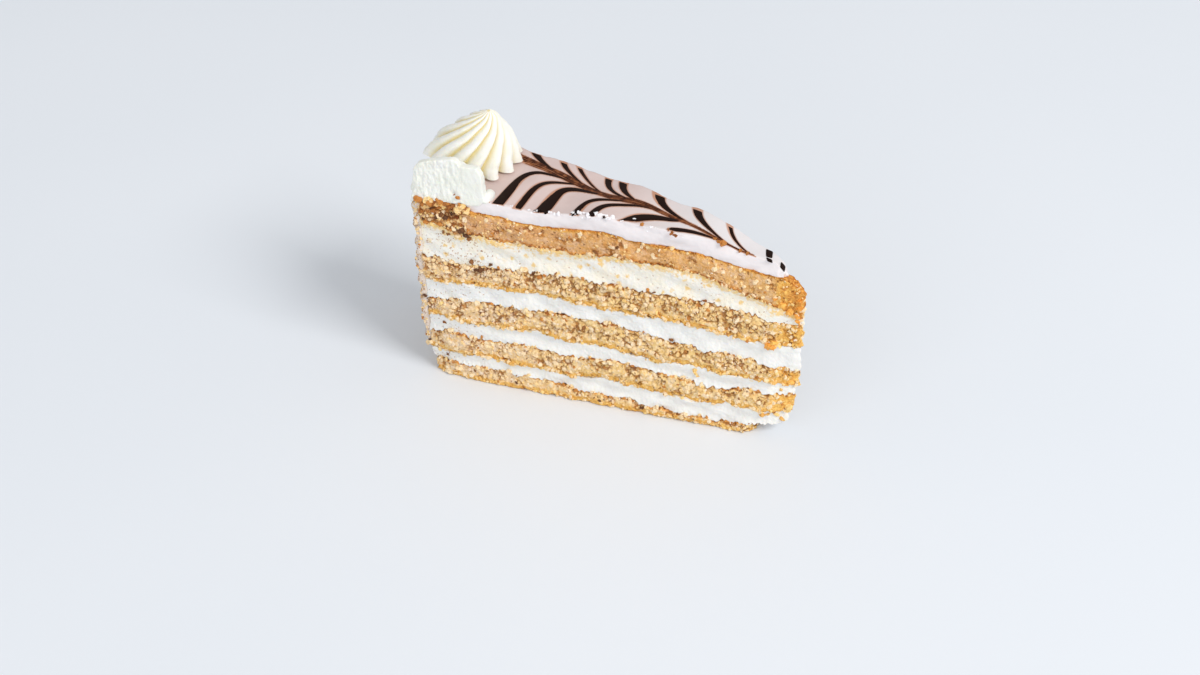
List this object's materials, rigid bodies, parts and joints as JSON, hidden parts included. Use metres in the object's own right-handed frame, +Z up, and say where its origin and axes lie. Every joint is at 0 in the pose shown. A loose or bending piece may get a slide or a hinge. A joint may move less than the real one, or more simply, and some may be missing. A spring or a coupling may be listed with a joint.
{
  "type": "esterhazy torte slice",
  "caption": "Wedge of a tall layered nut torte: nut sponges with buttercream between, white glaze feathered with chocolate lines, nut-coated rim and piped rosettes.",
  "frame": {"origin": "centre of the slice's box on the plane that the slice stands on", "axes": "+X towards the slice's pointed tip, -X towards the outer rim, -Y out of the near cut face, +Z up"},
  "size_m": [0.1222, 0.039, 0.0846],
  "materials": {
    "sponge": "baked ground-nut sponge, open crumb, matt, golden crust lines",
    "cream": "whipped buttercream dragged by the knife, soft satin",
    "glaze": "set white fondant glaze with feathered dark chocolate lines, soft gloss",
    "coat": "thin buttercream coat rolled in chopped nuts, rough and matt",
    "rosette": "piped buttercream, smooth ridges, soft satin"
  },
  "bodies": {
    "root": {"sponge_1": "sponge", "sponge_2": "sponge", "sponge_3": "sponge", "sponge_4": "sponge", "sponge_5": "sponge", "cream_1": "cream", "cream_2": "cream", "cream_3": "cream", "cream_4": "cream", "glaze": "glaze", "rim_coat": "coat", "rosette_whole": "rosette", "rosette_cut": "rosette"}
  },
  "joints": []
}
